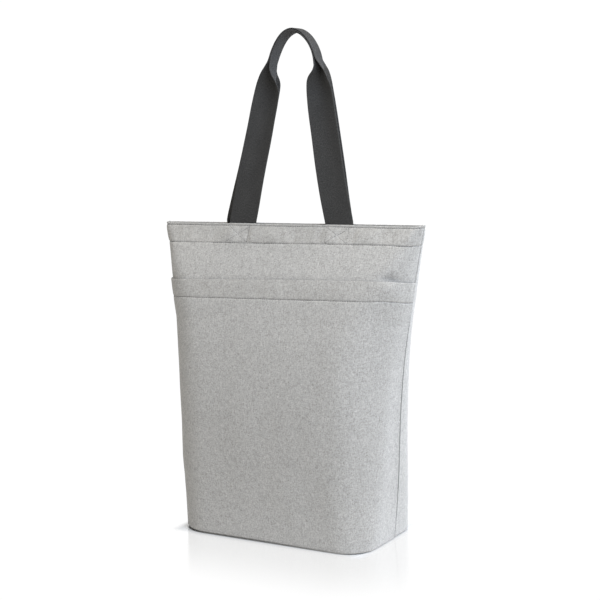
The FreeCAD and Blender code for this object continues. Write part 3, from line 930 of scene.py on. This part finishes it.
# ---------------------------------------------------------------- base, tapes and board
def build_base():
    """The base sheet: flat in the middle, its edge turned up to the seam."""
    thick, ground, wrinkle = 0.75, 0.25, 0.12
    flat_inset = 9.0                             # inside this the sheet lies flat
    ring = shell_ring(0, 4)
    outward = ring_outward(ring)
    count = len(ring)
    low = []
    for inset in (2.3, 2.7, 3.3, 4.3, 6.0, 9.0, 14.0, 22.0, 32.0):
        plan = ring - outward * inset
        if inset > flat_inset:
            plan = (ring - outward * flat_inset) * (1 - (inset - flat_inset) / 74.0)
        up = (1 - smooth(inset, 2.3, flat_inset)) * (0.45 + lift(plan[:, 0], plan[:, 1]))
        flat = smooth(inset, flat_inset, 20)
        z = (ground + up + wrinkle * noise(plan[:, 0] / 21.0, plan[:, 1] / 19.0, 301) * flat
             + wrinkle * flat)
        low.append(np.c_[plan, z])
    for scale in (0.6, 0.45, 0.3, 0.15, 0.04):
        plan = ring * scale
        z = ground + wrinkle + wrinkle * noise(plan[:, 0] / 21.0, plan[:, 1] / 19.0, 301)
        low.append(np.c_[plan, z])
    low = np.array(low)
    high = low + np.array([0.0, 0.0, thick])
    verts = np.vstack([low.reshape(-1, 3), high.reshape(-1, 3)])
    rows = len(low)
    upper = rows * count
    faces = []
    for i in range(rows - 1):
        this, other = i * count, (i + 1) * count
        for j in range(count):
            k = (j + 1) % count
            faces.append((this + j, other + j, other + k, this + k))
            faces.append((upper + this + j, upper + this + k,
                          upper + other + k, upper + other + j))
    last = (rows - 1) * count
    faces.append(tuple(last + j for j in range(count)))
    faces.append(tuple(upper + last + j for j in range(count))[::-1])
    for j in range(count):
        k = (j + 1) % count
        faces.append((j, k, upper + k, upper + j))
    piece = add_mesh("base_sheet", verts, [face[::-1] for face in faces], verts[:, :2],
                     turn=True)
    register(piece, "base_fabric", "bottom_panel", body="bag")


def swept_tape(node, line, across, up, wide, thick, wave, seed, closed=False, turn=False):
    """A folded tape, rounded at its folded edge, along a line."""
    half, bulge = thick / 2, thick / 2 * 1.04
    steps = 10
    fold = []
    for i in range(steps + 1):
        angle = math.pi / 2 - math.pi * i / steps
        fold.append((wide - half + half * math.cos(angle), half * math.sin(angle)))
    profile = np.array([(0.0, half), (wide * 0.33, bulge), (wide * 0.66, half)] + fold
                       + [(wide * 0.66, -half), (wide * 0.33, -bulge), (0.0, -half)])
    out, side = profile[:, :1], profile[:, 1:]
    run, around = path_lengths(line), path_lengths(profile)
    verts, uv = [], []
    for i in range(len(line)):
        sway = wave * noise(run[i] / 17.0, 0.3, seed)
        verts.append(line[i] + across[i] * out + up[i] * (side + sway * (out / wide)))
        uv.append(np.c_[around, np.full(len(profile), run[i])])
    piece = add_mesh("tape_" + node, np.vstack(verts),
                     tube_faces(len(line), len(profile), closed), np.vstack(uv), turn=turn)
    register(piece, "binding_tape", node, body="bag")


def seam_line(side, z, inset, shift_y=0.0):
    """Line just inside a side seam; side is -1 for the left one and 1 for the right one."""
    x = pchip(SHAPE_Z, HALF_WIDTH, z)
    return np.c_[side * (x - inset) + drift(z), seam_y(z) + shift_y, z]


def build_side_tape(side, node):
    line = seam_line(side, np.arange(12.0, 354.5, 3.0), inset=2.6)
    swept_tape(node, line, np.tile([-side, 0.0, 0.0], (len(line), 1)),
               np.tile([0.0, 1.0, 0.0], (len(line), 1)),
               wide=7.6, thick=2.0, wave=0.5, seed=21 + side, turn=side < 0)


BASE_RING = shell_ring(2, 3)
BASE_INWARD = np.c_[-ring_outward(BASE_RING), np.zeros(len(BASE_RING))]


def build_base_tape():
    line = np.c_[BASE_RING, np.full(len(BASE_RING), 3.6)] + BASE_INWARD * 2.0
    swept_tape("base_seam_binding", line, np.tile([0.0, 0.0, 1.0], (len(line), 1)),
               -BASE_INWARD, wide=6.2, thick=1.7, wave=0.4, seed=3, closed=True, turn=True)


def build_board():
    """The stiffener: a rounded rectangle with eased edges."""
    low, high = box_of("base_board")
    radius = 33.0
    centre_x, centre_y = high[0] - radius, high[1] - radius
    quarter = np.radians(np.arange(0, 90.1, 5))
    corners = []
    for sign_x, sign_y, start in ((1, 1, 0), (-1, 1, 90), (-1, -1, 180), (1, -1, 270)):
        angle = quarter + math.radians(start)
        corners.append(np.c_[sign_x * centre_x + radius * np.cos(angle),
                             sign_y * centre_y + radius * np.sin(angle)])
    ring = np.vstack(corners)
    outward = ring_outward(ring)
    bottom, top = low[2], high[2]
    edge = [(0.45, bottom), (0.12, bottom + 0.14), (0.0, bottom + 0.5), (0.0, top - 0.5),
            (0.12, top - 0.14), (0.45, top), (3.0, top)]          # inset, height
    verts = np.vstack([np.c_[ring - outward * inset, np.full(len(ring), z)]
                       for inset, z in edge])
    piece = add_mesh("stiffener_board_piece", verts, tube_faces(len(edge), len(ring)),
                     verts[:, :2], smooth_shade=False)
    register(piece, "stiffener_board", "base_board", body="board")


# ---------------------------------------------------------------- stitches
# One stitch: place along it as a share of its length, share of its radius
STITCH_PROFILE = [(-0.5, 0.12), (-0.47, 0.55), (-0.38, 0.88), (-0.2, 1.0), (0.0, 0.96),
                  (0.2, 1.0), (0.38, 0.88), (0.47, 0.55), (0.5, 0.12)]


def capsule(length, radius):
    """One stitch along x, a little flattened in z."""
    segments, flatness = 8, 0.8
    verts = []
    for x, share in STITCH_PROFILE:
        for k in range(segments):
            angle = 2 * math.pi * k / segments
            verts.append((x * length, share * radius * math.cos(angle),
                          share * radius * math.sin(angle) * flatness))
    return np.array(verts), tube_faces(len(STITCH_PROFILE), segments)


def stitches(name, runs, node, seed, length=2.35, pitch=3.1, radius=0.27,
             body="bag", slot="grey_thread"):
    """Single stitches along runs; a run is (points, normals) sampled densely."""
    stitch, stitch_faces = capsule(length, radius)
    stitch_angle = np.arctan2(stitch[:, 2], stitch[:, 1])
    verts, faces, uv = [], [], []
    rng = np.random.RandomState(seed)
    offset = 0
    for points, normals in runs:
        lengths = path_lengths(points)
        count = max(1, int(lengths[-1] / pitch))
        for k in range(count):
            place = (k + 0.5) * lengths[-1] / count
            centre = on_path(points, lengths, place)
            along = unit(on_path(points, lengths, place + 1)
                         - on_path(points, lengths, place - 1))
            normal = on_path(normals, lengths, place)
            normal = unit(normal - along * (normal @ along))
            side = np.cross(normal, along)
            angle = rng.uniform(-0.05, 0.05)
            cos, sin = math.cos(angle), math.sin(angle)
            turned = np.c_[along * cos + side * sin, side * cos - along * sin, normal]
            verts.append(stitch @ turned.T + centre)
            faces += [tuple(i + offset for i in face) for face in stitch_faces]
            uv.append(np.c_[stitch[:, 0] + 10 * k, stitch_angle])
            offset += len(stitch)
    piece = add_mesh(name, np.vstack(verts), faces, np.vstack(uv))
    register(piece, slot, node, body=body)


def shell_run(along, z, front, depth=0.0, extra=None):
    """Run lying just proud of the shell's face."""
    movement = extra(along, z) if extra else 0.0
    points, normals = shell_point(along, z, depth, front, movement)
    return points + normals * 0.20, normals


def row_around(z, sides=(FRONT, BACK), **placing):
    """Level row on the given sides, ending just short of the side seams."""
    runs = []
    for front in sides:
        reach = float(half_length(z, front)) - 2.6
        along = np.linspace(-reach, reach, 800)
        runs.append(shell_run(along, np.full_like(along, z), front, **placing))
    return runs


def box_runs(front):
    """The two upright sides and the two diagonals of each sewn box."""
    runs = []
    share = np.linspace(0, 1, 60)
    for centre, bottom, top in STITCH_BOXES[front]:
        left, right = centre - BOX_HALF, centre + BOX_HALF
        for x0, z0, x1, z1 in ((left, bottom, left, top), (right, bottom, right, top),
                               (left, top, right, bottom), (left, bottom, right, top)):
            runs.append(shell_run(x0 + (x1 - x0) * share, z0 + (z1 - z0) * share, front))
    return runs


def side_seam_runs():
    """Rows on the front face of both side seam tapes."""
    z = np.linspace(16, 350, 400)
    forward = np.tile([0.0, -1.0, 0.0], (len(z), 1))
    return [(seam_line(side, z, inset=5.7, shift_y=-1.12), forward) for side in (-1, 1)]


def base_seam_run():
    """Row on the inner face of the base seam tape."""
    closed = np.vstack([BASE_RING, BASE_RING[:1]])
    inward = np.vstack([BASE_INWARD, BASE_INWARD[:1]])
    return np.c_[closed, np.full(len(closed), BASE_STITCH)] + inward * 2.98, inward


# ---------------------------------------------------------------- webbing handles
# Centre lines of the free webbing, from the left leg over the grip to the right leg: x, z
HANDLE_PATH = {
    FRONT: [(-60.2, 386), (-54.6, 408), (-44.9, 447), (-34.4, 486), (-24.6, 524),
            (-18.4, 543), (-14.6, 552.5), (-11.4, 562), (-9.9, 571), (-7.6, 581),
            (-3.4, 590), (2.6, 599.3), (11.0, 607.4), (22.0, 610.9), (32.0, 607.6),
            (41.4, 599.3), (47.4, 590), (51.2, 581), (53.2, 571), (53.6, 562),
            (52.9, 552.5), (52.2, 543), (53.0, 524), (57.8, 486), (62.8, 447),
            (69.2, 408), (73.6, 386)],
    BACK: [(-73.0, 386), (-66.5, 408), (-54.5, 447), (-43.5, 486), (-33.6, 524),
           (-29.2, 543), (-27.4, 552.5), (-25.6, 562), (-23.2, 571), (-19.2, 581),
           (-14.8, 590), (-8.8, 599.3), (-0.6, 607.0), (10.5, 610.4), (20.6, 607.2),
           (29.8, 599.3), (35.9, 590), (39.2, 581), (40.6, 571), (41.4, 562),
           (42.4, 552.5), (43.9, 543), (47.2, 524), (52.8, 486), (58.0, 447),
           (63.2, 408), (66.5, 386)],
}
# How far each half of the webbing is folded over, going up a leg: height, degrees
FOLD_OUT = [(380, 0), (400, 3), (420, 7), (447, 11), (485, 16), (523, 23), (541, 33),
            (550, 44), (560, 58), (568, 75), (575, 87), (581, 90), (640, 90)]
FOLD_IN = [(380, 0), (400, 3), (420, 7), (447, 11), (485, 16), (523, 22), (541, 32),
           (549, 45), (555, 63), (561, 81), (568, 89), (575, 90), (640, 90)]
TOP_Y = 1.25               # distance of each strap from y = 0 at the grip
LEGS_MEET_Z = 541.0        # height where the leaning legs reach it


def spline(points, steps):
    """Smooth curve through the points, with slopes weighted by chord length."""
    points = np.asarray(points, float)
    curve = []
    for i in range(len(points) - 1):
        before, start, end, after = (points[max(i - 1, 0)], points[i], points[i + 1],
                                     points[min(i + 2, len(points) - 1)])
        d0, d1, d2 = (max(np.linalg.norm(b - a), 1e-6)
                      for a, b in ((before, start), (start, end), (end, after)))
        slope0 = slope1 = end - start
        if i:
            slope0 = ((end - start) / d1 * d0 + (start - before) / d0 * d1) / (d0 + d1) * d1
        if i + 2 < len(points):
            slope1 = ((end - start) / d1 * d2 + (after - end) / d2 * d1) / (d1 + d2) * d1
        for k in range(steps):
            t = k / steps
            curve.append(start * (2 * t**3 - 3 * t**2 + 1) + slope0 * (t**3 - 2 * t**2 + t)
                         + end * (-2 * t**3 + 3 * t**2) + slope1 * (t**3 - t**2))
    curve.append(points[-1])
    return np.array(curve)


def strap_line(front):
    """Centre line of a whole strap, from one sewn end over the grip to the other."""
    sign = -1.0 if front else 1.0
    path = spline(HANDLE_PATH[front], 8)
    path = path[path[:, 1] > 388.0]
    lean = np.clip((path[:, 1] - HINGE_Z) / (LEGS_MEET_Z - HINGE_Z), 0, 1)
    loop = np.c_[path[:, 0], sign * (LEG_Y + lean * (TOP_Y - LEG_Y)), path[:, 1]]
    legs = []
    for centre, end, inner in zip(LEGS[front], (0, -1), (4, -5)):
        # the sewn end lies against the inside of the hem
        z = np.arange(TAIL_BOTTOM, 379.0, 1.0)
        tail, _ = shell_point(np.full_like(z, centre), z, HEM_DEPTH + WEB_THICK / 2 + 0.05,
                              front)
        tail[:, 0] = centre
        # the foot carries the leg's own slope straight down to the rim
        slope = (loop[end, 0] - loop[inner, 0]) / (loop[end, 2] - loop[inner, 2])
        foot = [[loop[end, 0] + slope * (h - loop[end, 2]), sign * LEG_Y, h]
                for h in (380.6, 384.0)]
        tail[:, 0] += (foot[0][0] - tail[:, 0]) * smooth(tail[:, 2], 362.0, 380.0)
        legs.append(np.vstack([tail, foot]))
    line = np.vstack([legs[0], loop, legs[1][::-1]])
    lengths = path_lengths(line)
    run = np.linspace(0, lengths[-1], int(round(lengths[-1] / 2.0)) + 1)
    line = on_path(line, lengths, run)
    soft = blur(np.vstack([line[:1].repeat(4, 0), line, line[-1:].repeat(4, 0)]), 4, 1.8)
    free = smooth(line[:, 2], 379.0, 384.0)[:, None]
    return line * (1 - free) + soft * free, run


def strap_frame(line, front):
    """Directions across the strap and towards the outside of the bag."""
    sign = -1.0 if front else 1.0
    zeros = np.zeros(len(line))
    tangent = unit(np.gradient(line, axis=0))
    # across: level at the sewn ends, square to the run above the rim
    square = unit(np.c_[tangent[:, 2], zeros, -tangent[:, 0]])
    level = np.c_[np.sign(tangent[:, 2]), zeros, zeros]
    levelled = (1 - smooth(line[:, 2], 366.0, 379.0))[:, None]
    across = square * (1 - levelled) + level * levelled
    across = unit(across - tangent * (across * tangent).sum(1, keepdims=True))
    facing = np.cross(across, tangent)
    facing = facing * np.sign(facing[:, 1:2] * sign)
    # where the strap would run nearly along y, its side is unclear: face straight out
    facing[np.abs(facing[:, 1]) < 0.05] = np.array([0, sign, 0])
    return across, unit(facing)


def fold_angle(stations, z):
    heights, degrees = zip(*stations)
    return np.radians(np.clip(pchip(heights, degrees, np.clip(z, 380, 640)), 0, 90))


def build_webbing(name, front, nodes):
    line, run = strap_line(front)
    across, facing = strap_frame(line, front)
    fold_out = fold_angle(FOLD_OUT, line[:, 2])
    fold_in = fold_angle(FOLD_IN, line[:, 2])
    fold = (fold_in + fold_out) / 2
    # places across the width, close together at the fold and at the selvedges
    width = np.r_[-WEB_HALF, -18.85, -18.5, -18.0, -17.0, np.linspace(-15.5, -3.5, 13),
                  -2.6, -1.9, -1.35, -0.9, -0.45]
    width = np.r_[width, 0.0, -width[::-1]]
    off_middle = np.abs(width)
    mid_width = (width[1:] + width[:-1]) / 2
    middle = len(width) // 2
    # half thickness: rounded off at the edges, with woven cords along the selvedges
    half_thick = WEB_THICK / 2 * np.sqrt(
        np.clip(1 - np.clip((off_middle - 18.3) / 0.72, 0, 1) ** 2, 0.02, 1))
    half_thick = half_thick + 0.07 * bell(off_middle, 17.9, 0.5)
    seed = 5 if front else 9
    outer, inner, uv = [], [], []
    for i in range(len(line)):
        # the crease is sharp at the grip and soft down the legs
        openness = math.cos(fold[i]) ** 2
        crease = 1.35 + 9.0 * openness
        angle = (np.where(width > 0, fold_in[i], -fold_out[i])
                 * np.clip(off_middle / crease, 0, 1) ** 0.9)
        mid_angle = (angle[1:] + angle[:-1]) / 2
        step = np.diff(width)
        x = np.r_[0, np.cumsum(np.cos(mid_angle) * step)]
        y = np.r_[0, np.cumsum(np.sin(np.abs(mid_angle)) * np.sign(mid_width) * step)]
        x, y = x - x[middle], y - y[middle]
        # gentle cupping and waviness of the flat legs
        flat = openness * float(smooth(line[i, 2], 384, 410))
        cup = 0.35 * (1 - (width / WEB_HALF) ** 2) * noise(run[i] / 60.0, 0.7, seed)
        y = y + flat * (cup + 0.25 * noise(run[i] / 38.0, width / 17.0, seed + 1))
        slope_x, slope_y = np.gradient(x), np.gradient(y)
        size = np.hypot(slope_x, slope_y)
        normal_x, normal_y = -slope_y / size, slope_x / size      # into the fold
        folded = math.sin(fold[i])
        if folded > 0.9:                         # the grip's open edges are sewn together
            pinch = 0.10 * bell(off_middle, 16.0, 1.2) * (folded - 0.9) / 0.1
            x = x - np.sign(width) * pinch
        for rows, sign in ((outer, -1), (inner, 1)):
            point_x = x + sign * normal_x * half_thick
            point_y = y + sign * normal_y * half_thick
            rows.append(line[i] + across[i] * point_x[:, None] + facing[i] * point_y[:, None])
        uv.append(np.c_[width, np.full(len(width), run[i])])
    uv = np.array(uv)
    folds = np.repeat(np.sin(fold)[:, None], len(width), 1)
    piece = thick_sheet(name, (np.array(outer), np.array(inner)), (uv, uv),
                        {"fold": (folds, folds)}, flip=front)
    register(piece, "webbing", *nodes)
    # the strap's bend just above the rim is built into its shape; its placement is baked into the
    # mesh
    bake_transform(piece)
    return line, across, facing


def grip_run(line, across, facing):
    """Row on the upper face of the folded grip, near its open edges."""
    keep = line[:, 2] > 573.0
    upward = -across[keep]                       # `across` points down at the top of the arch
    half_gap, proud, row_width = 0.70, 0.02, 15.9
    points = (line[keep] + upward * (half_gap + WEB_THICK / 2 + proud)
              + facing[keep] * row_width)
    return points, upward


# ---------------------------------------------------------------- pieces
build_shell("front_shell", "front_panel", FRONT)
build_shell("back_shell", "back_panel", BACK)
build_pocket()
build_base()
build_side_tape(-1, "left_seam_binding")
build_side_tape(1, "right_seam_binding")
build_base_tape()
build_board()

stitches("stitches_rim", row_around(RIM_STITCH), "rim_topstitching", seed=1)
stitches("stitches_hem", row_around(HEM_STITCH), "hem_stitching", seed=2)
stitches("stitches_pocket",
         row_around(POCKET_STITCH, sides=(FRONT,), depth=-1.9 + STITCH_SINK,
                    extra=pocket_extra),
         "pocket_hem_stitching", seed=3)
stitches("stitches_front_boxes", box_runs(FRONT), "front_handle_box_stitching",
         seed=4, length=2.0, pitch=2.6)
stitches("stitches_rear_boxes", box_runs(BACK), "rear_handle_box_stitching",
         seed=5, length=2.0, pitch=2.6)
stitches("stitches_side_seams", side_seam_runs(), "side_seam_stitching", seed=6)
stitches("stitches_base_seam", [base_seam_run()], "base_seam_stitching", seed=7)

front_strap = build_webbing("front_webbing", FRONT,
                            ("front_handle", "front_handle_tails"))
rear_strap = build_webbing("rear_webbing", BACK,
                           ("rear_handle", "rear_handle_tails"))
for end, strap, seed in (("front", front_strap, 8), ("rear", rear_strap, 9)):
    stitches(f"stitches_{end}_grip", [grip_run(*strap)], f"{end}_grip_stitching", seed=seed,
             length=2.1, pitch=2.9, radius=0.24, body=f"{end}_strap", slot="dark_thread")


# ---------------------------------------------------------------- floor, light, camera
WHITE = (1, 1, 1, 1)
SWEEP_BRIGHTNESS = 1.03    # of the floor and the background as seen by the camera


def floor_material():
    """Shadow close to the base, a faint reflection further out, then a plain white sweep."""
    m = Shader("pale_floor")
    m.surface({"Base Color": (0.74, 0.74, 0.735, 1), "Roughness": 0.6,
               "Specular IOR Level": 0.0})
    place = m.node("ShaderNodeTexCoord")
    split = m.node("ShaderNodeSeparateXYZ")
    m.link(place.outputs["Object"], split.inputs[0])

    def beyond(axis, half_size):
        return m.math("MAXIMUM", m.math("SUBTRACT", m.math("ABSOLUTE", split.outputs[axis]),
                                        half_size), 0.0)

    x, y = beyond(0, 0.125), beyond(1, 0.068)
    distance = m.math("SQRT", m.add(m.times(x, x), m.times(y, y)))

    def fade(start, end):
        node = m.node("ShaderNodeMapRange", interpolation_type="SMOOTHSTEP")
        m.link(distance, node.inputs["Value"])
        node.inputs["From Min"].default_value = start
        node.inputs["From Max"].default_value = end
        return node.outputs[0]

    def mix_shader(factor, first, second):
        node = m.node("ShaderNodeMixShader")
        for socket, source in zip(node.inputs, (factor, first, second)):
            m.link(source, socket)
        return node.outputs[0]

    glow = m.node("ShaderNodeEmission")
    glow.inputs["Color"].default_value = WHITE
    glow.inputs["Strength"].default_value = SWEEP_BRIGHTNESS
    sweep = mix_shader(fade(0.0, 0.016), m.bsdf.outputs[0], glow.outputs[0])
    gloss = m.node("ShaderNodeBsdfGlossy")
    gloss.inputs["Color"].default_value = WHITE
    gloss.inputs["Roughness"].default_value = 0.17
    reflection = 0.29                            # share of gloss next to the base
    share = m.math("MULTIPLY_ADD", fade(0.02, 0.19), -reflection, reflection)
    m.link(mix_shader(share, sweep, gloss.outputs[0]), m.output.inputs[0])
    return m.material


def build_floor():
    bpy.ops.mesh.primitive_plane_add(size=30, location=(0, 0, 0))
    floor = bpy.context.object
    floor.name = "floor"
    paint(floor, floor_material())


def build_world():
    """A dim warm fill, seen as plain white by the camera and in reflections."""
    world = bpy.data.worlds.new("studio")
    bpy.context.scene.world = world
    world.use_nodes = True
    nodes, links = world.node_tree.nodes, world.node_tree.links
    fill = nodes["Background"]
    fill.inputs[0].default_value = (1.0, 0.965, 0.905, 1)
    fill.inputs[1].default_value = 0.19
    seen = nodes.new("ShaderNodeBackground")
    seen.inputs[0].default_value = WHITE
    seen.inputs[1].default_value = SWEEP_BRIGHTNESS
    rays = nodes.new("ShaderNodeLightPath")
    mix = nodes.new("ShaderNodeMixShader")
    either = nodes.new("ShaderNodeMath")
    either.operation = "MAXIMUM"
    links.new(rays.outputs["Is Camera Ray"], either.inputs[0])
    links.new(rays.outputs["Is Glossy Ray"], either.inputs[1])
    links.new(either.outputs[0], mix.inputs[0])
    links.new(fill.outputs[0], mix.inputs[1])
    links.new(seen.outputs[0], mix.inputs[2])
    links.new(mix.outputs[0], nodes["World Output"].inputs[0])


def area_light(name, location, target, size, power, color):
    data = bpy.data.lights.new(name, "AREA")
    data.shape = "RECTANGLE"
    data.size, data.size_y = size
    data.energy = power
    data.color = color
    light = bpy.data.objects.new(name, data)
    bpy.context.scene.collection.objects.link(light)
    light.location = location
    light.rotation_mode = "QUATERNION"
    aim = Vector(target) - Vector(location)
    light.rotation_quaternion = aim.to_track_quat("-Z", "Y")


def build_camera(location, yaw, pitch, roll, lens):
    """Camera looking towards +y, turned by yaw to the left and by pitch downwards."""
    data = bpy.data.cameras.new("photo_view")
    camera = bpy.data.objects.new("photo_view", data)
    bpy.context.scene.collection.objects.link(camera)
    data.sensor_width = 36.0
    data.lens = lens
    yaw, pitch, roll = math.radians(yaw), math.radians(pitch), math.radians(roll)
    forward = Vector((-math.sin(yaw) * math.cos(pitch), math.cos(yaw) * math.cos(pitch),
                      -math.sin(pitch)))
    level = forward.cross(Vector((0, 0, 1))).normalized()
    upright = level.cross(forward)
    right = level * math.cos(roll) + upright * math.sin(roll)
    up = -level * math.sin(roll) + upright * math.cos(roll)
    rows = [(right[i], up[i], -forward[i], location[i]) for i in range(3)]
    camera.matrix_world = Matrix((*rows, (0, 0, 0, 1)))
    bpy.context.scene.camera = camera


build_floor()
build_world()
area_light("key_right", location=(1.18, -0.74, 1.10), target=(0.05, 0, 0.42),
           size=(0.9, 1.0), power=20.0, color=(0.86, 0.982, 1.19))
area_light("top", location=(0.42, -0.26, 2.35), target=(0.0, 0.0, 0.2),
           size=(1.3, 1.1), power=40.0, color=(1.0, 0.975, 0.935))
area_light("back_right", location=(0.95, 1.32, 0.48), target=(0.05, 0, 0.32),
           size=(1.0, 1.0), power=28.0, color=(0.90, 0.990, 1.14))
build_camera(location=(0.8561, -1.42068, 0.49226), yaw=30.6523, pitch=7.1002, roll=-1.3576,
             lens=81.856)
bpy.context.scene.view_settings.view_transform = "Standard"
bpy.context.scene.view_settings.look = "None"
